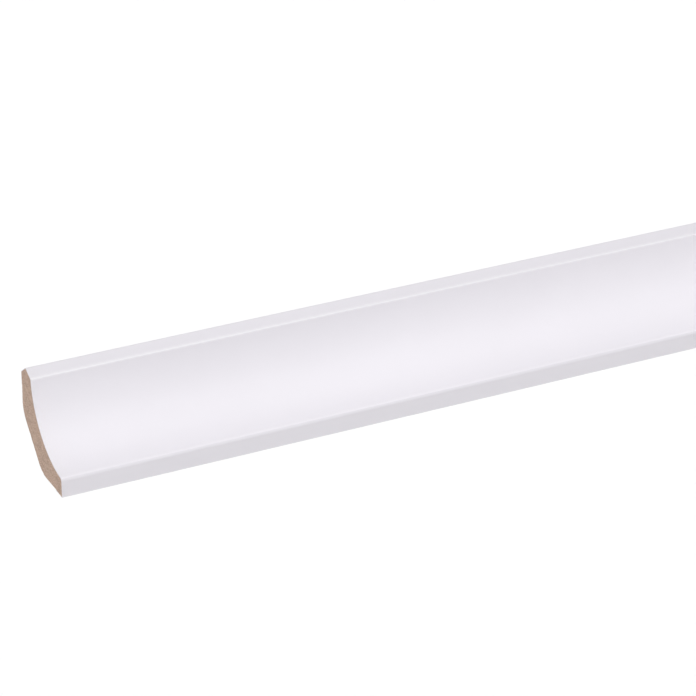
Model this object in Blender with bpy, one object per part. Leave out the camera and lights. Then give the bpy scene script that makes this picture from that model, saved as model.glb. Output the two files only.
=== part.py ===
"""Cove moulding: one length of wrapped MDF for the corner between a wall and a ceiling or a ledge.

The section is drawn as (out, up): out from the wall and up from the base, and is run along X.
In the model's frame +Z is up and +Y points into the wall. The origin is in the middle of the
flat wall facet, half way along the length.
"""

import math

import bmesh
import bpy

# Driving dimensions, in metres
LENGTH = 0.320
WALL_LEG = 0.040  # height of the section up the wall, to the crest before it is rounded
BASE_LEG = 0.040  # reach of the section out from the wall
SLANT_REACH = 0.0186  # where the slanted back's line meets the wall and the base
BACK_ROUND = 0.011  # blunt corners between the slanted back and the two facets

COVE_RADIUS = 0.0310
LIP_THICKNESS = 0.0104  # wall to the cove's steepest line
TOE_HEIGHT = 0.0086  # base to the cove's lowest line

HEEL_DROP = 0.0039  # from the crest down to where the wall facet starts
CREST_OUT = 0.005  # from the wall out to the crest, the highest line of the lip
LIP_FALL = 0.0026  # from the crest down to the lip's front edge

HEEL_ROUND = 0.0008
CREST_ROUND = 0.0012
LIP_ROUND = 0.0008
TOE_TOP_ROUND = 0.0018
TOE_FOOT_ROUND = 0.0006

# Steps in each arc
COVE_STEPS = 40
BACK_STEPS = 10
EDGE_STEPS = 6

# A corner's arc takes up no more than this share of the shorter side beside it
ROUND_LIMIT = 0.45

# Points this close to the wall's plane belong to the wall facet
ON_WALL = 1e-7

SMOOTH_BELOW = math.radians(25)

WRAP_COLOUR = (0.85, 0.845, 0.87, 1.0)
WRAP_ROUGHNESS = 0.4
MDF_COLOUR = (0.43, 0.32, 0.24, 1.0)
MDF_ROUGHNESS = 0.9


def arc(centre, radius, start, end, steps):
    """Points of an arc about centre, both ends included."""
    angles = [start + (end - start) * i / steps for i in range(steps + 1)]
    return [(centre[0] + radius * math.cos(a), centre[1] + radius * math.sin(a)) for a in angles]


def rounded(before, corner, after, radius, steps):
    """The arc that replaces a corner, tangent to the straight sides before and after it."""
    reach_in = math.dist(before, corner)
    reach_out = math.dist(corner, after)
    way_in = ((before[0] - corner[0]) / reach_in, (before[1] - corner[1]) / reach_in)
    way_out = ((after[0] - corner[0]) / reach_out, (after[1] - corner[1]) / reach_out)
    half = math.acos(way_in[0] * way_out[0] + way_in[1] * way_out[1]) / 2
    tangent = min(radius / math.tan(half), ROUND_LIMIT * min(reach_in, reach_out))
    radius = tangent * math.tan(half)
    to_centre = radius / math.sin(half)
    middle = (way_in[0] + way_out[0], way_in[1] + way_out[1])
    scale = to_centre / math.hypot(*middle)
    centre = (corner[0] + middle[0] * scale, corner[1] + middle[1] * scale)
    first = (corner[0] + way_in[0] * tangent, corner[1] + way_in[1] * tangent)
    last = (corner[0] + way_out[0] * tangent, corner[1] + way_out[1] * tangent)
    start = math.atan2(first[1] - centre[1], first[0] - centre[0])
    turn = math.atan2(last[1] - centre[1], last[0] - centre[0]) - start
    turn = (turn + math.pi) % (2 * math.pi) - math.pi
    return [first] + arc(centre, radius, start, start + turn, steps)[1:-1] + [last]


def cove_and_toe():
    """The hollow from the lip's front edge down to the toe, and the toe's rounded top edge."""
    centre = (LIP_THICKNESS + COVE_RADIUS, TOE_HEIGHT + COVE_RADIUS)

    # The cove starts where the lip's front edge cuts it, or at its steepest line if that is lower
    lip_edge = WALL_LEG - LIP_FALL
    below_centre = min(max((centre[1] - lip_edge) / COVE_RADIUS, 0.0), 1.0)
    start = math.pi + math.asin(below_centre)

    # The toe's round is tangent to the toe's front and to the cove, or to a flat beyond the cove
    toe_out = BASE_LEG - TOE_TOP_ROUND
    short_of_centre = centre[0] - toe_out
    if short_of_centre > 0:
        toe_up = centre[1] - math.sqrt((COVE_RADIUS + TOE_TOP_ROUND) ** 2 - short_of_centre**2)
        end = math.atan2(toe_up - centre[1], -short_of_centre) + 2 * math.pi
    else:
        toe_up = TOE_HEIGHT - TOE_TOP_ROUND
        end = 1.5 * math.pi

    cove = arc(centre, COVE_RADIUS, start, end, COVE_STEPS)
    toe = arc((toe_out, toe_up), TOE_TOP_ROUND, end - math.pi, 0.0, EDGE_STEPS)
    if short_of_centre > 0:
        toe = toe[1:]
    if lip_edge > centre[1]:
        cove.insert(0, (LIP_THICKNESS, lip_edge))
    return cove, toe


def outline():
    """The section's points, and the stretch of them that the white wrap covers."""
    cove, toe = cove_and_toe()
    corners = [
        ((0.0, SLANT_REACH), BACK_ROUND, BACK_STEPS),
        ((0.0, WALL_LEG - HEEL_DROP), HEEL_ROUND, EDGE_STEPS),
        ((CREST_OUT, WALL_LEG), CREST_ROUND, EDGE_STEPS),
        (cove[0], LIP_ROUND, EDGE_STEPS),
    ]
    corners += [(point, 0.0, 0) for point in cove[1:] + toe]
    corners += [
        ((BASE_LEG, 0.0), TOE_FOOT_ROUND, EDGE_STEPS),
        ((SLANT_REACH, 0.0), BACK_ROUND, BACK_STEPS),
    ]

    points = []
    starts = []
    for i, (corner, radius, steps) in enumerate(corners):
        starts.append(len(points))
        if radius == 0.0:
            points.append(corner)
            continue
        before = corners[i - 1][0]
        after = corners[(i + 1) % len(corners)][0]
        points += rounded(before, corner, after, radius, steps)
    wrap_from = starts[1]
    wrap_to = starts[-1] - 1
    return points, wrap_from, wrap_to


def material(name, colour, roughness):
    """A plain material with the part's colour."""
    made = bpy.data.materials.new(name)
    made.use_nodes = True
    shader = made.node_tree.nodes["Principled BSDF"]
    shader.inputs["Base Color"].default_value = colour
    shader.inputs["Roughness"].default_value = roughness
    shader.inputs["Metallic"].default_value = 0.0
    made.diffuse_color = colour
    return made


def moulding():
    """The one solid: the section run along X between two square cuts."""
    points, wrap_from, wrap_to = outline()
    wall_facet = [up for out, up in points if out < ON_WALL]
    origin_up = (min(wall_facet) + max(wall_facet)) / 2

    shape = bmesh.new()
    near = [shape.verts.new((-LENGTH / 2, -out, up - origin_up)) for out, up in points]
    end_face = shape.faces.new(near)
    run = bmesh.ops.extrude_face_region(shape, geom=[end_face], use_keep_orig=True)
    far = [item for item in run["geom"] if isinstance(item, bmesh.types.BMVert)]
    bmesh.ops.translate(shape, verts=far, vec=(LENGTH, 0.0, 0.0))
    bmesh.ops.recalc_face_normals(shape, faces=shape.faces)

    # Slot 0 is the bare MDF of the ends and the back, slot 1 the white wrap of the front
    for i in range(wrap_from, wrap_to):
        edge = shape.edges.get((near[i], near[i + 1]))
        for face in edge.link_faces:
            if len(face.verts) == 4:
                face.material_index = 1

    mesh = bpy.data.meshes.new("cove_moulding")
    shape.to_mesh(mesh)
    shape.free()
    mesh.shade_smooth()
    mesh.set_sharp_from_angle(angle=SMOOTH_BELOW)
    mesh.materials.append(material("raw_mdf", MDF_COLOUR, MDF_ROUGHNESS))
    mesh.materials.append(material("white_wrap", WRAP_COLOUR, WRAP_ROUGHNESS))

    made = bpy.data.objects.new("cove_moulding", mesh)
    bpy.context.scene.collection.objects.link(made)
    return made


def main():
    for old in list(bpy.data.objects):
        bpy.data.objects.remove(old, do_unlink=True)
    moulding()


main()
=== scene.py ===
"""Looks of the cove moulding: an MDF core, sawn square at both ends, wrapped in a thin white foil.

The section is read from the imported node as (out, up) points: out from the wall, and up.
Both pieces are rebuilt on it at a finer pitch, and the foil's outer surface is the node's own.
"""

import math

import bpy
import numpy as np
from mathutils import Matrix, Vector, noise


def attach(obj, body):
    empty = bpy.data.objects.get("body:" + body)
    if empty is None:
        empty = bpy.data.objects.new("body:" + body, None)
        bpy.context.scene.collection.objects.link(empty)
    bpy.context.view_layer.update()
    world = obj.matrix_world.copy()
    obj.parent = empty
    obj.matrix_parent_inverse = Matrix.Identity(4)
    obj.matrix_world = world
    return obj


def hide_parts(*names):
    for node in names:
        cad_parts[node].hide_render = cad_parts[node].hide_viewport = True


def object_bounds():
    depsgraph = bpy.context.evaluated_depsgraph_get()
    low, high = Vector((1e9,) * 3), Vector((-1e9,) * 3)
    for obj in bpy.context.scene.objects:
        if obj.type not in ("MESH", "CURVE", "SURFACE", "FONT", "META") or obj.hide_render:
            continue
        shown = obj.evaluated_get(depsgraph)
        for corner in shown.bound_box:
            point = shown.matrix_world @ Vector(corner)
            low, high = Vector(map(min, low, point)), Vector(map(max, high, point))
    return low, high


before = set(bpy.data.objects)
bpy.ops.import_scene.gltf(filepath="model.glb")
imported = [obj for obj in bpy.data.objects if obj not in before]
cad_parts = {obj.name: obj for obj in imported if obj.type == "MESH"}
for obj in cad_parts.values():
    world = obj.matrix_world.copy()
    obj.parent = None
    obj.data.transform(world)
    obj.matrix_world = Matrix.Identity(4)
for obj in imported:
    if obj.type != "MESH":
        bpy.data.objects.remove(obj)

NODE = "cove_moulding"
BODY = "root"
cad_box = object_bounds()

# The two sawn ends, along the length
NEAR = cad_box[0][0]
FAR = cad_box[1][0]

# Points this close to a facet's plane belong to it, in metres
ON_FACET = 1e-6

# The node's points are matched to the nearest micron
MICRONS = 1e6

# A side more than this many times longer than the next one sets the direction where they meet
LONG_SIDE = 2

# The foil, in metres
FOIL_THICKNESS = 0.0003
FOIL_TURN = 0.0055  # how far the foil turns onto the wall facet and the base facet
FOIL_SINK = 0.00003  # its glued side goes this far into the core, so no gap shows between them
FOIL_BREAK = 0.00005  # its sawn edge is broken by this much
FOIL_WANDER = 0.0004  # its turned edges wander this much along the back
FOIL_RAG = 0.00005  # its sawn edge is this ragged
RAG_NOTCHES = 2200  # to the metre

# The turned edges wander in slow waves with quick ones on them, so many to the metre
SLOW_WAVES = 30
QUICK_WAVES = 110
QUICK_SHARE = 0.5

# Where the noise is read for the wander of the edge on the wall facet, of the one on the base
# facet, and for the quick waves of both
WALL_PHASE = 1.0
BASE_PHASE = 8.0
QUICK_PHASE = 5.0

# How far handling has polished the foil along its crest, the lip's front edge, the toe's top edge
# and its foot, with a painted highlight on the same places, and how far from each of them they reach
POLISH_AND_HIGHLIGHT = (0.25, 0.9, 0.0, 0.2)
POLISH_AND_HIGHLIGHT_REACH = 0.0008

# How much painted shade darkens the foil on the top of the lip and on the toe's face
PAINTED_SHADE_LIP = 0.085
PAINTED_SHADE_TOE = 0.078

# The meshes
STEPS_IN_CHORD = 6  # at least, in each side of the node's outline
LONGEST_STEP = 0.0005
STEPS_ALONG_COVE = 300  # over an end from the lip to the toe
STEPS_ACROSS = 76  # over an end from its front to its back
CORE_RINGS = 33
FOIL_RINGS = 73
SHARP_ABOVE = math.radians(38)

# The core's materials, by their places on it
PLANED = 0
SAWN = 1

# The core's sawn edges are broken by this much, where they are bare and under the foil
ARRIS_BARE = 0.00016
ARRIS_COVERED = 0.00002

# A point is under the foil where the core gives way to at least this share of it
UNDER_FOIL = 0.999

# The board's faces run across the section at this angle
BOARD_TURN = math.pi / 4

# The saw's marks, in metres
SAW_PITCH = 0.0011
SAW_DEPTH = 0.00002
SAW_CENTRE = (0.115, -0.074)  # the marks are arcs about this point, (out, up)
SAW_WAVER = 2.5  # how far the arcs waver, in radians of their wave
SAW_LEAST = 0.6  # the share of their depth that they cut everywhere
SAW_DEEPER = 0.8  # the share more that they cut in places
WAVER_PATCHES = 260  # to the metre
DEEPER_PATCHES = 120

# The sawn ends' fibres, as relief
FIBRE_DEPTH = 0.00005
FIBRES_ALONG = 900  # to the metre, along the board's faces
FIBRES_ACROSS = 2400
FUZZ_PATCHES = 3300
FUZZ_SHARE = 0.7
END_SHIFT = 0.02  # how far the far end's patterns are from the near end's

# The sawn ends' pits, each with its own share of the depth, width, length in widths, and turn
# from the board's faces
PITS = 110
PIT_DEPTH = 0.00014
PIT_SHARE = (0.4, 1.0)
PIT_WIDTH = (0.00012, 0.0004)
PIT_LONGER = (1.0, 2.6)
PIT_TURN = 0.4
SEED = 7

# The photograph's camera: its lens on a 36 mm sensor, the way it looks, and where it stands
SENSOR = 36.0
LENS = 156.48
CAMERA_HEADING = math.radians(26.769)
CAMERA_TILT = math.radians(28.029)
CAMERA_ROLL = math.radians(0.698)
CAMERA_PLACE = Vector((-0.5120, -0.9798, 0.5686))
CAMERA_NEAREST = 0.01  # it sees nothing nearer than this

# Light: the key lamp's height, its heading from straight in front, its spread and its strength
KEY_HEIGHT = math.radians(71)
KEY_HEADING = math.radians(-25)
KEY_SPREAD = math.radians(80)
KEY_STRENGTH = 2.75

# The sky's strength low down and overhead, and the sines of the heights that it fades between
SKY_LOW = 0.4
SKY_HIGH = 0.03
SKY_FADE = (0.55, 0.75)

# The floor, in metres: how far it lies under the piece, its flat radius, and how far its rim rises
FLOOR_DROP = 0.9
FLOOR_FLAT = 4.0
FLOOR_RISE = 3.0

# The floor's whiteness, and the faint glow that brings it up to the photograph's white ground
FLOOR_WHITE = 0.88
FLOOR_GLOW = 0.06

# The floor's mesh: sides around, rings on the flat, and steps up the rim from the first angle
FLOOR_SIDES = 96
FLAT_RINGS = 4
RIM_STEPS = 14
RIM_START = 0.1


# The section

def read_outline(node):
    """The node's end outline as (out, up) points, starting low on the wall facet and going up it."""
    mesh = node.data
    points = np.array([v.co for v in mesh.vertices])
    at_end = points[:, 0] < points[:, 0].min() + ON_FACET
    keys = [tuple(np.round(p[1:] * MICRONS).astype(int)) for p in points]
    places = {}
    links = {}
    for face in mesh.polygons:
        on_an_end = abs(face.normal.x) > 0.5
        corners = [v for v in face.vertices if at_end[v]]
        if on_an_end or len({keys[v] for v in corners}) != 2:
            continue
        a, b = sorted({keys[v] for v in corners})
        links.setdefault(a, set()).add(b)
        links.setdefault(b, set()).add(a)
        for v in corners:
            places[keys[v]] = (-points[v][1], points[v][2])
    walk = [min(places, key=lambda k: (places[k][0] > ON_FACET, places[k][1]))]
    walk.append(max(links[walk[0]], key=lambda k: places[k][1]))
    while True:
        onward = [k for k in links[walk[-1]] if k not in walk]
        if not onward:
            break
        walk.append(onward[0])
    return np.array([places[k] for k in walk])


def tangents(points):
    """The outline's direction at each point. Beside a long straight side it is that side's own."""
    ahead = np.roll(points, -1, 0) - points
    behind = points - np.roll(points, 1, 0)
    run = np.linalg.norm(ahead, axis=1)[:, None]
    back = np.linalg.norm(behind, axis=1)[:, None]
    way = ahead / run + behind / back
    way = np.where(run > LONG_SIDE * back, ahead / run, way)
    way = np.where(back > LONG_SIDE * run, behind / back, way)
    return way / np.linalg.norm(way, axis=1)[:, None]


def smooth_outline(points):
    """The outline drawn finer, by cubic curves between the node's points."""
    way = tangents(points)
    fine = []
    for i in range(len(points)):
        j = (i + 1) % len(points)
        span = np.linalg.norm(points[j] - points[i])
        steps = max(STEPS_IN_CHORD, math.ceil(span / LONGEST_STEP))
        for t in np.arange(steps) / steps:
            fine.append(
                (2 * t**3 - 3 * t**2 + 1) * points[i]
                + (t**3 - 2 * t**2 + t) * span * way[i]
                + (3 * t**2 - 2 * t**3) * points[j]
                + (t**3 - t**2) * span * way[j]
            )
    return np.array(fine)


def facets(points):
    """Which points lie on the wall facet and on the base facet, and where the foil ends on each."""
    out, up = points.T
    on_wall = out < out.min() + ON_FACET
    on_base = up < up.min() + ON_FACET
    return on_wall, on_base, up[on_wall].max() - FOIL_TURN, out[on_base].max() - FOIL_TURN


def covered(points):
    """How much of the foil's thickness the core gives way to at each point.

    It is 1 under the foil. From the foil's edge it runs out along the bare part of each facet,
    and it is 0 on the slanted back.
    """
    out, up = points.T
    on_wall, on_base, wall_edge, base_edge = facets(points)
    wall_low = up[on_wall].min()
    base_back = out[on_base].min()
    slanted = np.arange(len(points)) > np.flatnonzero(on_base).max()
    share = np.where(slanted, 0.0, 1.0)
    share = np.where(on_wall, np.clip((up - wall_low) / (wall_edge - wall_low), 0, 1), share)
    return np.where(on_base, np.clip((out - base_back) / (base_edge - base_back), 0, 1), share)


def inward(points, distance):
    """The closed outline moved into the material, by one distance or by one for each point."""
    ahead = np.roll(points, -1, 0) - np.roll(points, 1, 0)
    ahead /= np.linalg.norm(ahead, axis=1)[:, None]
    normal = np.stack([ahead[:, 1], -ahead[:, 0]], 1)
    return points + np.broadcast_to(distance, len(points))[:, None] * normal


def stretch(points, start, end, steps):
    """Evenly spaced points along the closed outline from one index on to another.

    What follows a point's two places is carried along.
    """
    count = len(points)
    if end <= start:
        end += count
    path = points[np.arange(start, end + 1) % count]
    run = np.concatenate([[0.0], np.cumsum(np.linalg.norm(np.diff(path[:, :2], axis=0), axis=1))])
    places = np.linspace(0.0, run[-1], steps + 1)
    return np.stack([np.interp(places, run, path[:, k]) for k in range(path.shape[1])], 1)


def turning_points(points):
    """Where the outline turns: its crest, the lip's front edge, the toe's top edge and its foot."""
    out, up = points.T
    upper = up > up.mean()
    forward = out + up
    crest = int(np.argmax(up))
    lip = int(np.argmax(np.where(upper, forward, -math.inf)))
    toe = int(np.argmax(np.where(upper, -math.inf, forward)))
    foot = int(np.argmax(out - up))
    return crest, lip, toe, foot


# Meshes

def finish_mesh(name, verts, faces, materials, slots):
    """An object from plain lists, shaded smooth with its sharp edges kept."""
    mesh = bpy.data.meshes.new(name)
    mesh.from_pydata([tuple(v) for v in verts], [], [tuple(f) for f in faces])
    for made in materials:
        mesh.materials.append(made)
    mesh.polygons.foreach_set("material_index", slots)
    mesh.shade_smooth()
    mesh.set_sharp_from_angle(angle=SHARP_ABOVE)
    mesh.update()
    made = bpy.data.objects.new(name, mesh)
    bpy.context.scene.collection.objects.link(made)
    return made


def tube(count, rings):
    """The faces between rings that have count points each."""
    faces = []
    for r in range(rings - 1):
        for i in range(count):
            j = (i + 1) % count
            faces.append((r * count + i, r * count + j, (r + 1) * count + j, (r + 1) * count + i))
    return faces


def patch(front, back, top, toe):
    """A grid of points filling the four curves around the end: rows go from the lip to the toe."""
    s = np.linspace(0.0, 1.0, len(front))[:, None, None]
    t = np.linspace(0.0, 1.0, len(top))[None, :, None]
    across = (1 - t) * front[:, None, :] + t * back[:, None, :]
    along = (1 - s) * top[None, :, :] + s * toe[None, :, :]
    near_corners = (1 - s) * (1 - t) * front[0] + (1 - s) * t * back[0]
    far_corners = s * (1 - t) * front[-1] + s * t * back[-1]
    return across + along - near_corners - far_corners


def saw_relief(points, end):
    """How far the sawn end lies below its plane at each (out, up) point."""
    rng = np.random.RandomState(SEED + end)
    reach = np.linalg.norm(points - np.array(SAW_CENTRE), axis=1)
    depth = np.zeros(len(points))
    for i, (out, up) in enumerate(points):
        spot = Vector((out, up, END_SHIFT * end))
        waver = SAW_WAVER * noise.noise(spot * WAVER_PATCHES)
        stroke = 0.5 + 0.5 * math.sin(2 * math.pi * reach[i] / SAW_PITCH + waver)
        bite = SAW_LEAST + SAW_DEEPER * abs(noise.noise(spot * DEEPER_PATCHES))
        depth[i] = SAW_DEPTH * stroke * bite

        # Fibres lie along the board's faces
        strand = Vector(((out - up) * FIBRES_ALONG, (out + up) * FIBRES_ACROSS, end))
        fibre = noise.noise(strand) + FUZZ_SHARE * noise.noise(spot * FUZZ_PATCHES)
        depth[i] += FIBRE_DEPTH * (0.5 + 0.5 * fibre)
    for k in rng.randint(0, len(points), PITS):
        width = rng.uniform(*PIT_WIDTH)
        longer = rng.uniform(*PIT_LONGER)
        turn = -BOARD_TURN + rng.uniform(-PIT_TURN, PIT_TURN)
        away = points - points[k]
        u = (away[:, 0] * math.cos(turn) + away[:, 1] * math.sin(turn)) / longer
        v = -away[:, 0] * math.sin(turn) + away[:, 1] * math.cos(turn)
        depth += PIT_DEPTH * rng.uniform(*PIT_SHARE) * np.exp(-(u**2 + v**2) / width**2)
    return depth


def core_rim(outline):
    """The core's section, evenly spaced from the lip's edge round the cove, the toe and the back.

    With it comes how far the sawn edge is broken at each point.
    """
    share = covered(outline)
    core = inward(outline, FOIL_THICKNESS * share)
    crest, lip, toe, foot = turning_points(core)
    marked = np.concatenate([core, share[:, None]], 1)
    sides = (
        stretch(marked, lip, toe, STEPS_ALONG_COVE),
        stretch(marked, toe, foot, STEPS_ACROSS),
        stretch(marked, foot, crest, STEPS_ALONG_COVE),
        stretch(marked, crest, lip, STEPS_ACROSS),
    )
    rim = np.concatenate([side[:-1] for side in sides])
    arris = ARRIS_COVERED + (ARRIS_BARE - ARRIS_COVERED) * (rim[:, 2] < UNDER_FOIL)
    return rim[:, :2], arris


def end_grid(rim):
    """The grid of points over an end, inside its rim."""
    n = STEPS_ALONG_COVE
    m = STEPS_ACROSS
    closed = np.concatenate([rim, rim[:1]])
    front = closed[:n + 1]
    toe = closed[n:n + m + 1]
    back = closed[n + m:2 * n + m + 1][::-1]
    top = closed[2 * n + m:][::-1]
    return patch(front, back, top, toe)


def build_core(outline, materials):
    """The MDF: its section run between the two sawn ends, whose faces carry the saw's relief."""
    rim, arris = core_rim(outline)
    count = len(rim)

    # The rings of the sides, the end ones set back from the cut
    verts = []
    for x in NEAR + np.linspace(0.0, 1.0, CORE_RINGS) * (FAR - NEAR):
        for (out, up), set_back in zip(rim, arris):
            verts.append((min(max(x, NEAR + set_back), FAR - set_back), -out, up))
    faces = tube(count, CORE_RINGS)
    slots = [PLANED] * len(faces)

    # Each end's grid, and the narrow band of broken edge between it and the sides
    grid = end_grid(inward(rim, arris))
    rows, columns = grid.shape[:2]
    flat = grid.reshape(-1, 2)
    for end, x, way in ((0, NEAR, 1.0), (1, FAR, -1.0)):
        index = len(verts) + np.arange(rows * columns).reshape(rows, columns)
        verts += [(x + way * d, -p[0], p[1]) for p, d in zip(flat, saw_relief(flat, end))]
        quads = []
        for a in range(rows - 1):
            for b in range(columns - 1):
                quads.append((index[a, b], index[a, b + 1], index[a + 1, b + 1], index[a + 1, b]))
        loop = np.concatenate([index[:-1, 0], index[-1, :-1], index[1:, -1][::-1], index[0, 1:][::-1]])
        ring = end * (CORE_RINGS - 1) * count + np.arange(count)
        for i in range(count):
            j = (i + 1) % count
            quads.append((loop[i], loop[j], ring[j], ring[i]))
        faces += [quad if end == 0 else quad[::-1] for quad in quads]
        slots += [SAWN] * len(quads)
    return finish_mesh("mdf_core", verts, faces, materials, slots)


def wander(x, phase):
    """How many times longer the foil's turn onto a facet is at this place along the length."""
    slow = noise.noise(Vector((x * SLOW_WAVES, phase, 0.0)))
    quick = noise.noise(Vector((x * QUICK_WAVES, phase, QUICK_PHASE)))
    return 1 + FOIL_WANDER / FOIL_TURN * (slow + QUICK_SHARE * quick)


def build_foil(outline, materials):
    """The white foil over the front, turned a little way onto both facets behind."""
    on_wall, on_base, wall_edge, base_edge = facets(outline)
    wall_top = outline[on_wall][:, 1].max()
    base_front = outline[on_base][:, 0].max()
    start = int(np.argmin(np.where(on_wall, abs(outline[:, 1] - wall_edge), math.inf)))
    end = int(np.argmin(np.where(on_base, abs(outline[:, 0] - base_edge), math.inf)))
    wrapped = slice(start, end + 1)
    outer = outline[wrapped]
    inner = inward(outline, FOIL_THICKNESS + FOIL_SINK)[wrapped]
    broken = inward(outline, FOIL_BREAK)[wrapped]

    # Each ring: its place along the length, its outer line, and whether it is at a sawn end
    rings = [(NEAR, broken, 1), (NEAR + FOIL_BREAK, outer, 1)]
    rings += [(x, outer, 0) for x in np.linspace(NEAR, FAR, FOIL_RINGS)[1:-1]]
    rings += [(FAR - FOIL_BREAK, outer, -1), (FAR, broken, -1)]

    # The flat stretches on the two facets grow and shrink, so that the turned edges wander
    flat_wall = np.concatenate([on_wall[wrapped], on_wall[wrapped][::-1]])
    flat_base = np.concatenate([on_base[wrapped], on_base[wrapped][::-1]])
    verts = []
    for x, line, at_end in rings:
        out, up = np.concatenate([line, inner[::-1]]).T
        out = np.where(flat_base, base_front - (base_front - out) * wander(x, BASE_PHASE), out)
        up = np.where(flat_wall, wall_top - (wall_top - up) * wander(x, WALL_PHASE), up)
        for o, u in zip(out, up):
            rag = FOIL_RAG * abs(noise.noise(Vector((o * RAG_NOTCHES, u * RAG_NOTCHES, at_end))))
            verts.append((x + at_end * rag, -o, u))

    # The sides, and at each end the foil's own sawn edge
    size = 2 * len(outer)
    faces = tube(size, len(rings))
    for first, flip in ((0, False), ((len(rings) - 1) * size, True)):
        for i in range(len(outer) - 1):
            quad = (first + i, first + size - 1 - i, first + size - 2 - i, first + i + 1)
            faces.append(quad[::-1] if flip else quad)
    foil = finish_mesh("white_foil", verts, faces, materials, [0] * len(faces))

    # The polish with its painted highlight on the edges, and the painted shade, are kept with the mesh,
    # for the foil's material
    turns = turning_points(outline)
    # The polish, which also carries a painted highlight, is highest at each turning point
    polish_and_highlight = np.zeros(len(outer))
    for share, k in zip(POLISH_AND_HIGHLIGHT, turns):
        away = np.linalg.norm(outer - outline[k], axis=1)
        polish_and_highlight += share * np.exp(-(away / POLISH_AND_HIGHLIGHT_REACH)**2)
    crest, lip, toe, foot = (k - start for k in turns)
    # Painted shade on the top of the lip and on the toe's face
    painted_shade = np.zeros(len(outer))
    painted_shade[crest:lip] = PAINTED_SHADE_LIP
    painted_shade[toe:foot] = PAINTED_SHADE_TOE
    for name, values in (("polish_and_highlight", polish_and_highlight), ("painted_shade", painted_shade)):
        kept = foil.data.attributes.new(name, "FLOAT", "POINT")
        kept.data.foreach_set("value", np.tile(np.concatenate([values, values[::-1]]), len(rings)))
    return foil


# Materials

# Colours are linear red, green and blue, and a dark tone comes before its light one. Patches,
# grains, flecks and fibres are counted to the metre, and depths and reaches are in metres.
# A scale is along X, Y and Z, and less than 1 draws a pattern out that way.

# Most of a speckle's values lie in this band
SPECKLE_BAND = (0.3, 0.7)


def new_material(name, roughness, specular):
    """A material, its nodes, its shader, and the piece's own coordinates in metres.

    The two plain values stand in where an export doesn't carry what is linked over them.
    """
    made = bpy.data.materials.new(name)
    made.use_nodes = True
    tree = made.node_tree
    shader = tree.nodes["Principled BSDF"]
    shader.inputs["Roughness"].default_value = roughness
    shader.inputs["Specular IOR Level"].default_value = specular
    coordinates = tree.nodes.new("ShaderNodeTexCoord").outputs["Object"]
    return made, tree, shader, coordinates


def feed(tree, value, socket):
    """Gives a socket what it takes: another socket's output, a colour or a number."""
    if isinstance(value, bpy.types.NodeSocket):
        tree.links.new(value, socket)
    elif isinstance(value, tuple):
        socket.default_value = (*value, 1.0)
    else:
        socket.default_value = value


def grained(tree, coordinates, scale, turn=0.0):
    """Coordinates scaled, so that a pattern gets a grain, and then turned about the length."""
    mapping = tree.nodes.new("ShaderNodeMapping")
    mapping.inputs["Rotation"].default_value = (turn, 0.0, 0.0)
    mapping.inputs["Scale"].default_value = scale
    tree.links.new(coordinates, mapping.inputs["Vector"])
    return mapping.outputs["Vector"]


def speckle(tree, coordinates, scale, detail=2.0, distortion=0.0):
    """Soft noise from 0 to 1, with scale patches to the metre."""
    node = tree.nodes.new("ShaderNodeTexNoise")
    node.inputs["Scale"].default_value = scale
    node.inputs["Detail"].default_value = detail
    node.inputs["Distortion"].default_value = distortion
    tree.links.new(coordinates, node.inputs["Vector"])
    return node.outputs["Fac"]


def levels(tree, value, band, result):
    """The value's band spread over the range of the result, and held at its ends beyond it."""
    node = tree.nodes.new("ShaderNodeMapRange")
    for name, number in zip(("From Min", "From Max", "To Min", "To Max"), (*band, *result)):
        node.inputs[name].default_value = number
    tree.links.new(value, node.inputs["Value"])
    return node.outputs["Result"]


def ramp(tree, value, band, tones):
    """The first tone below the value's band, the second above it, and a run between them."""
    node = tree.nodes.new("ShaderNodeValToRGB")
    for element, position, colour in zip(node.color_ramp.elements, band, tones):
        element.position = position
        element.color = (*colour, 1.0)
    tree.links.new(value, node.inputs["Fac"])
    return node.outputs["Color"]


def blend(tree, share, below, above, mode="MIX"):
    """The second colour laid over the first."""
    node = tree.nodes.new("ShaderNodeMix")
    node.data_type = "RGBA"
    node.blend_type = mode
    for value, name in ((share, "Factor"), (below, "A"), (above, "B")):
        feed(tree, value, node.inputs[name])
    return node.outputs["Result"]


def arithmetic(tree, operation, *values):
    """One piece of arithmetic on numbers, sockets or both."""
    node = tree.nodes.new("ShaderNodeMath")
    node.operation = operation
    for value, socket in zip(values, node.inputs):
        feed(tree, value, socket)
    return node.outputs["Value"]


def times(tree, first, second):
    """The product of two values."""
    return arithmetic(tree, "MULTIPLY", first, second)


def kept_value(tree, name):
    """A value kept with the mesh."""
    node = tree.nodes.new("ShaderNodeAttribute")
    node.attribute_name = name
    return node.outputs["Fac"]


def axes(tree, coordinates):
    """The coordinates' three parts, by the names X, Y and Z."""
    split = tree.nodes.new("ShaderNodeSeparateXYZ")
    tree.links.new(coordinates, split.inputs["Vector"])
    return split.outputs


def emboss(tree, shader, layers):
    """Bumps laid on one another, each from a height and its depth in metres."""
    normal = None
    for height, depth in layers:
        node = tree.nodes.new("ShaderNodeBump")
        node.inputs["Distance"].default_value = depth
        tree.links.new(height, node.inputs["Height"])
        if normal is not None:
            tree.links.new(normal, node.inputs["Normal"])
        normal = node.outputs["Normal"]
    tree.links.new(normal, shader.inputs["Normal"])


# The foil's looks
FOIL_TONES = ((0.757, 0.736, 0.779), (0.783, 0.761, 0.805))
CLOUD_PATCHES = 9
# How unevenly the painted shade lies
PAINTED_SHADE_UNEVEN = (0.7, 1.3)
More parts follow.
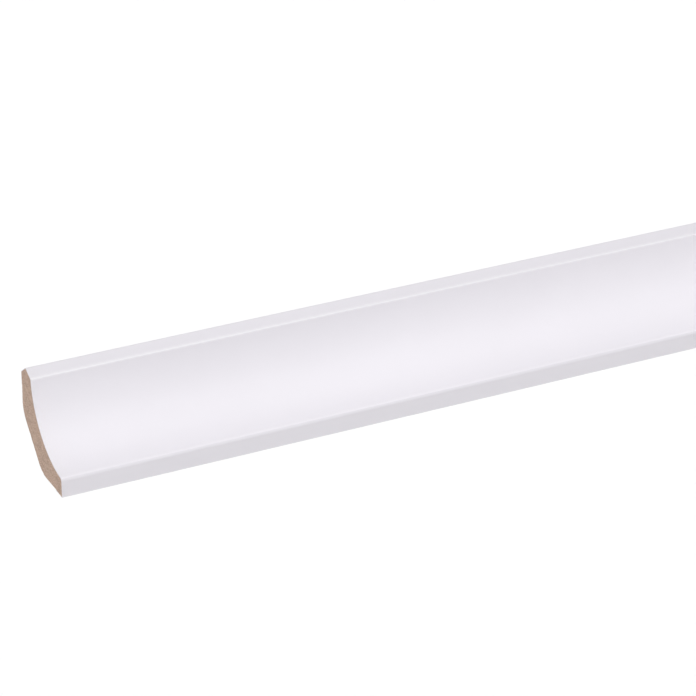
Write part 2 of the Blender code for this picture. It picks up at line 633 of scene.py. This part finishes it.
# A painted highlight: the pale colour that the polished edges are lifted towards, and by how much
PAINTED_HIGHLIGHT = (0.88, 0.87, 0.885)
PAINTED_HIGHLIGHT_SHARE = 0.25
SAWDUST = (0.62, 0.5, 0.42)
DUST_SHARE = 0.16
DUST_REACH = 0.012
DUST_GRAINS = 2600
DUST_BAND = (0.42, 0.75)
PLAIN_TO_POLISHED_GLOSS = (0.17, 0.75)
PLAIN_TO_POLISHED_ROUGHNESS = (1.0, 0.93)  # times the satin's own
SATIN_ROUGHNESS = (0.31, 0.38)
SATIN_PATCHES = 60
SWELL_SCALE = (0.35, 1.0, 1.0)
SWELL_PATCHES = 140
SWELL_DEPTH = 0.000008
EGGSHELL_PATCHES = 1400
EGGSHELL_DEPTH = 0.000005


def foil_material():
    """Satin white foil: a faint cloudiness, a fine eggshell, and sawdust near the cut ends."""
    made, tree, shader, coordinates = new_material("white_foil", roughness=0.34, specular=0.18)
    cloud = speckle(tree, coordinates, CLOUD_PATCHES, detail=3)
    colour = ramp(tree, cloud, SPECKLE_BAND, FOIL_TONES)

    # Painted shade on the top of the lip and on the toe's face, laid unevenly
    painted_shade = times(tree, kept_value(tree, "painted_shade"), levels(tree, cloud, SPECKLE_BAND, PAINTED_SHADE_UNEVEN))
    colour = blend(tree, 1.0, colour, arithmetic(tree, "SUBTRACT", 1.0, painted_shade), "MULTIPLY")

    # A painted highlight: paler where the edges are polished
    polish_and_highlight = kept_value(tree, "polish_and_highlight")
    colour = blend(tree, times(tree, polish_and_highlight, PAINTED_HIGHLIGHT_SHARE), colour, PAINTED_HIGHLIGHT)

    # Dust from the saw, thinning out away from each end
    from_middle = arithmetic(tree, "ABSOLUTE", axes(tree, coordinates)["X"])
    near_end = levels(tree, from_middle, (FAR - DUST_REACH, FAR), (0.0, 1.0))
    grains = levels(tree, speckle(tree, coordinates, DUST_GRAINS, detail=1), DUST_BAND, (0.0, 1.0))
    dust = times(tree, times(tree, near_end, near_end), grains)
    colour = blend(tree, times(tree, dust, DUST_SHARE), colour, SAWDUST)
    tree.links.new(colour, shader.inputs["Base Color"])

    # Satin, and glossier where the edges are polished
    gloss = levels(tree, polish_and_highlight, (0.0, 1.0), PLAIN_TO_POLISHED_GLOSS)
    tree.links.new(gloss, shader.inputs["Specular IOR Level"])
    satin = speckle(tree, coordinates, SATIN_PATCHES, detail=4)
    satin = levels(tree, satin, SPECKLE_BAND, SATIN_ROUGHNESS)
    smoother = levels(tree, polish_and_highlight, (0.0, 1.0), PLAIN_TO_POLISHED_ROUGHNESS)
    tree.links.new(times(tree, satin, smoother), shader.inputs["Roughness"])

    # A swell drawn out along the length, and a fine eggshell on it
    swell = speckle(tree, grained(tree, coordinates, SWELL_SCALE), SWELL_PATCHES, detail=1)
    eggshell = speckle(tree, coordinates, EGGSHELL_PATCHES, detail=2)
    emboss(tree, shader, ((swell, SWELL_DEPTH), (eggshell, EGGSHELL_DEPTH)))
    return made


# What the board's two materials share
FIBRE_SCALE = (0.6, 0.42, 1.0)
FIBRES = 4200
FIBRE_BAND = (0.33, 0.67)
SOFT_PATCHES = 700
SOFT_SHADES = (0.86, 1.12)
BARK = (0.15, 0.095, 0.06)
BARK_SCALE = (1.0, 0.5, 1.0)
BARK_FLECKS = 2500
BARK_BAND = (0.66, 0.74)  # only the noise's highest spots are flecks
BARK_SHARE = 0.55
PALE_WOOD = (0.72, 0.58, 0.46)
WOOD_SCALE = (1.0, 0.4, 1.4)
WOOD_FLECKS = 3100
WOOD_BAND = (0.67, 0.76)
WOOD_SHARE = 0.5


def mdf_colour(tree, coordinates, tones):
    """The board's fibres, and its brown: soft patches, and flecks of dark bark and pale wood."""
    grain = grained(tree, coordinates, FIBRE_SCALE, BOARD_TURN)
    fibres = speckle(tree, grain, FIBRES, detail=4, distortion=0.3)
    colour = ramp(tree, fibres, FIBRE_BAND, tones)
    patches = levels(tree, speckle(tree, grain, SOFT_PATCHES, detail=3), SPECKLE_BAND, SOFT_SHADES)
    colour = blend(tree, 1.0, colour, patches, "MULTIPLY")
    bark = speckle(tree, grained(tree, grain, BARK_SCALE), BARK_FLECKS, detail=1)
    colour = blend(tree, levels(tree, bark, BARK_BAND, (0.0, BARK_SHARE)), colour, BARK)
    wood = speckle(tree, grained(tree, grain, WOOD_SCALE), WOOD_FLECKS, detail=1)
    return fibres, blend(tree, levels(tree, wood, WOOD_BAND, (0.0, WOOD_SHARE)), colour, PALE_WOOD)


# The sawn ends' looks
SAWN_TONES = ((0.325, 0.225, 0.17), (0.63, 0.465, 0.375))
SAWN_ROUGHNESS = (0.95, 0.82)
BOARD_SKIN = (0.27, 0.19, 0.135)
SKIN_SHARE = 0.4
SKIN_DEPTH = 0.0032
SAWN_FIBRE_DEPTH = 0.00005
NAP_PATCHES = 9000
NAP_DEPTH = 0.00002


def mdf_end_material(slant_sum):
    """The sawn end: speckled fibre, darker and denser at the board's back face."""
    made, tree, shader, coordinates = new_material("mdf_sawn", roughness=0.9, specular=0.25)
    fibres, colour = mdf_colour(tree, coordinates, SAWN_TONES)

    # The board's back face is the slanted back, so its dense skin follows out + up
    part = axes(tree, coordinates)
    out_and_up = arithmetic(tree, "SUBTRACT", part["Z"], part["Y"])
    skin = levels(tree, out_and_up, (slant_sum, slant_sum + SKIN_DEPTH), (1.0, 0.0))
    skin = times(tree, times(tree, skin, skin), SKIN_SHARE)
    colour = blend(tree, skin, colour, BOARD_SKIN)
    tree.links.new(colour, shader.inputs["Base Color"])

    rough = levels(tree, fibres, SPECKLE_BAND, SAWN_ROUGHNESS)
    tree.links.new(rough, shader.inputs["Roughness"])
    nap = speckle(tree, coordinates, NAP_PATCHES, detail=1)
    emboss(tree, shader, ((fibres, SAWN_FIBRE_DEPTH), (nap, NAP_DEPTH)))
    return made


# The planed back's looks
PLANED_TONES = ((0.335, 0.24, 0.175), (0.5, 0.375, 0.29))
PLANED_ROUGHNESS = (0.82, 0.66)
PLANED_FIBRE_DEPTH = 0.00002
RIPPLE_SCALE = 180  # a ripple every 1.7 mm
RIPPLE_DISTORTION = 0.6
RIPPLE_DETAIL = 1.0
RIPPLE_SHADES = (0.96, 1.02)
RIPPLE_DEPTH = 0.00001


def mdf_side_material():
    """The planed back: smoother and a little darker, with the cutter's ripples across the length."""
    made, tree, shader, coordinates = new_material("mdf_planed", roughness=0.75, specular=0.35)
    fibres, colour = mdf_colour(tree, coordinates, PLANED_TONES)
    waves = tree.nodes.new("ShaderNodeTexWave")
    waves.wave_type = "BANDS"
    waves.bands_direction = "X"
    waves.inputs["Scale"].default_value = RIPPLE_SCALE
    waves.inputs["Distortion"].default_value = RIPPLE_DISTORTION
    waves.inputs["Detail"].default_value = RIPPLE_DETAIL
    tree.links.new(coordinates, waves.inputs["Vector"])
    ripple = waves.outputs["Fac"]
    burnish = levels(tree, ripple, (0.0, 1.0), RIPPLE_SHADES)
    tree.links.new(blend(tree, 1.0, colour, burnish, "MULTIPLY"), shader.inputs["Base Color"])
    rough = levels(tree, fibres, SPECKLE_BAND, PLANED_ROUGHNESS)
    tree.links.new(rough, shader.inputs["Roughness"])
    emboss(tree, shader, ((ripple, RIPPLE_DEPTH), (fibres, PLANED_FIBRE_DEPTH)))
    return made


# The stage

def build_floor():
    """A pale round floor whose rim curves up, so that it stands behind the piece from any side."""
    paper, _, shader, _ = new_material("pale_floor", roughness=0.9, specular=0.2)
    shader.inputs["Base Color"].default_value = (FLOOR_WHITE, FLOOR_WHITE, FLOOR_WHITE, 1.0)
    shader.inputs["Emission Color"].default_value = (1.0, 1.0, 1.0, 1.0)
    shader.inputs["Emission Strength"].default_value = FLOOR_GLOW
    low = cad_box[0][2] - FLOOR_DROP
    rings = [(FLOOR_FLAT * (k + 1) / FLAT_RINGS, 0.0) for k in range(FLAT_RINGS)]
    for a in np.linspace(RIM_START, math.pi / 2, RIM_STEPS):
        rings.append((FLOOR_FLAT + FLOOR_RISE * math.sin(a), FLOOR_RISE * (1 - math.cos(a))))
    verts = [(0.0, 0.0, low)]
    for radius, lift in rings:
        for a in np.arange(FLOOR_SIDES) * 2 * math.pi / FLOOR_SIDES:
            verts.append((radius * math.cos(a), radius * math.sin(a), low + lift))
    faces = []
    for i in range(FLOOR_SIDES):
        j = (i + 1) % FLOOR_SIDES
        faces.append((0, 1 + i, 1 + j))
        for r in range(len(rings) - 1):
            inner = 1 + r * FLOOR_SIDES
            outer = inner + FLOOR_SIDES
            faces.append((inner + i, outer + i, outer + j, inner + j))
    finish_mesh("floor", verts, faces, [paper], [0] * len(faces))


def build_lights():
    """A white sky, faint overhead, and one broad soft light high in front of the moulding."""
    world = bpy.data.worlds.new("studio")
    world.use_nodes = True
    tree = world.node_tree
    sky = tree.nodes["Background"]
    sky.inputs["Color"].default_value = (1.0, 1.0, 1.0, 1.0)
    height = axes(tree, tree.nodes.new("ShaderNodeTexCoord").outputs["Generated"])["Z"]
    tree.links.new(levels(tree, height, SKY_FADE, (SKY_LOW, SKY_HIGH)), sky.inputs["Strength"])
    bpy.context.scene.world = world

    lamp = bpy.data.lights.new("key", "SUN")
    lamp.energy = KEY_STRENGTH
    lamp.angle = KEY_SPREAD
    made = bpy.data.objects.new("key", lamp)
    bpy.context.scene.collection.objects.link(made)
    level = math.cos(KEY_HEIGHT)
    towards = Vector((level * math.sin(KEY_HEADING), -level * math.cos(KEY_HEADING), math.sin(KEY_HEIGHT)))
    made.rotation_euler = towards.to_track_quat("Z", "Y").to_euler()


def build_camera():
    """The photograph's camera, turned by its heading, its tilt and its roll."""
    data = bpy.data.cameras.new("camera")
    data.sensor_width = SENSOR
    data.lens = LENS
    data.clip_start = CAMERA_NEAREST
    made = bpy.data.objects.new("camera", data)
    bpy.context.scene.collection.objects.link(made)
    turn = (
        Matrix.Rotation(-CAMERA_HEADING, 4, "Z")
        @ Matrix.Rotation(math.pi / 2 - CAMERA_TILT, 4, "X")
        @ Matrix.Rotation(CAMERA_ROLL, 4, "Z")
    )
    made.matrix_world = Matrix.Translation(CAMERA_PLACE) @ turn
    bpy.context.scene.camera = made


section = smooth_outline(read_outline(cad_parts[NODE]))

# out + up is least, and the same, all along the slanted back
slanted_back = float(section.sum(1).min())

core = build_core(section, [mdf_side_material(), mdf_end_material(slanted_back)])
foil = build_foil(section, [foil_material()])
for piece in (core, foil):
    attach(piece, BODY)
    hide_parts(NODE)
build_floor()
build_lights()
build_camera()
bpy.context.scene.view_settings.view_transform = "Standard"
